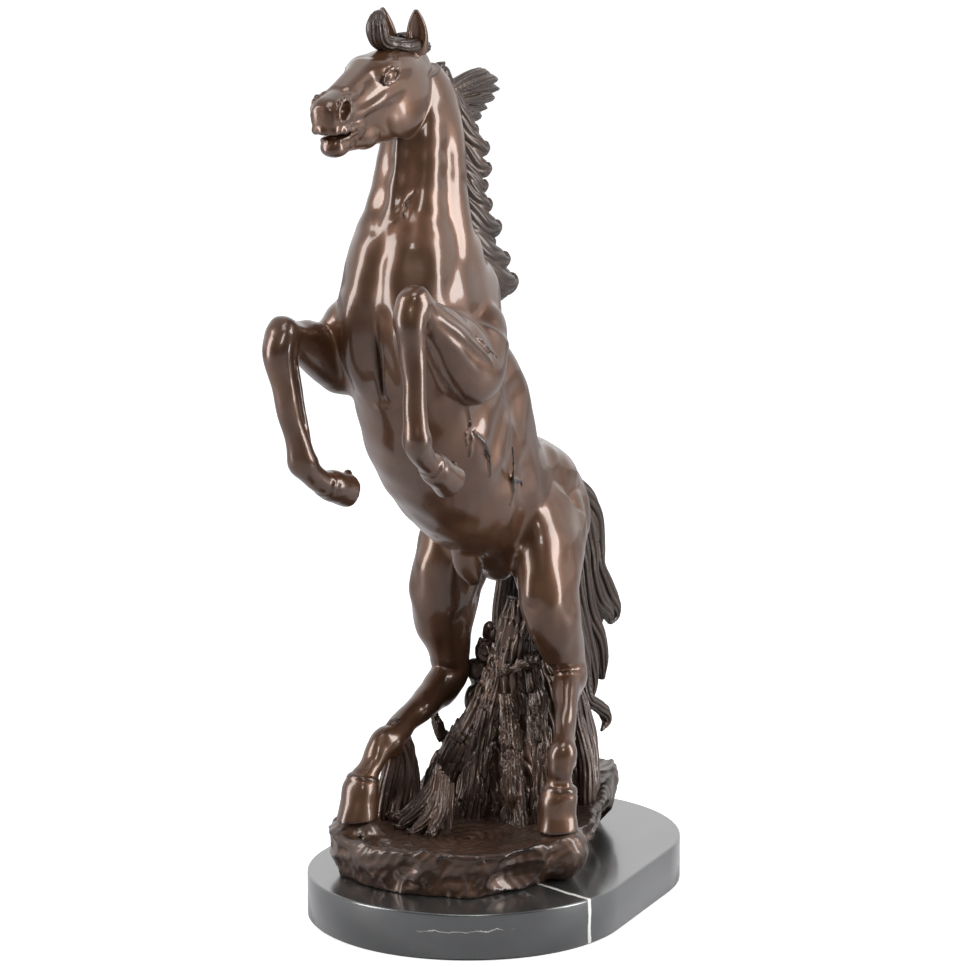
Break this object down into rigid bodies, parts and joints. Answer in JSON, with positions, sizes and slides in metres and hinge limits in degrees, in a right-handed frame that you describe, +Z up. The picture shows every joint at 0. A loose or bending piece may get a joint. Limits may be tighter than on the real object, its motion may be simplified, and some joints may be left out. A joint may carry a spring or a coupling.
{
  "type": "rearing horse statue",
  "caption": "Rearing bronze horse on a rocky bronze ground with a tree stump, fixed by studs to a polished black marble plinth with round ends.",
  "frame": {"origin": "middle of the plinth's underside, where the felt rests on a table", "axes": "+Z up, the plinth is long along Y, the horse looks along -Y and a little towards -X"},
  "size_m": [0.2036, 0.3508, 0.5801],
  "materials": {
    "bronze_horse": "brown lacquered patina, glossy",
    "bronze_hair": "dark brown patina with golden rubbed ridges",
    "bronze_ground": "dark brown patina with golden rubbed edges",
    "pin_brass": "bare metal",
    "marble": "polished black marble with white veins",
    "felt": "short felt",
    "steel": "zinc plated"
  },
  "bodies": {
    "root": {"plinth": "marble", "felt_sheet": "felt", "mounting_studs": "steel", "stud_washers": "steel", "stud_nuts": "steel", "ground_casting": "bronze_ground", "tree_stump": "bronze_ground", "stump_dowels": "pin_brass", "grass_tufts": "bronze_ground", "hoof_pins": "pin_brass", "left_hind_leg": "bronze_horse", "right_hind_leg": "bronze_horse", "left_foreleg": "bronze_horse", "right_foreleg": "bronze_horse", "leg_dowels": "pin_brass", "body_casting": "bronze_horse", "neck_casting": "bronze_horse", "neck_dowels": "pin_brass", "head_casting": "bronze_horse", "head_dowels": "pin_brass", "forelock": "bronze_hair", "mane": "bronze_hair", "tail": "bronze_hair", "tail_dowel": "pin_brass"}
  },
  "joints": []
}
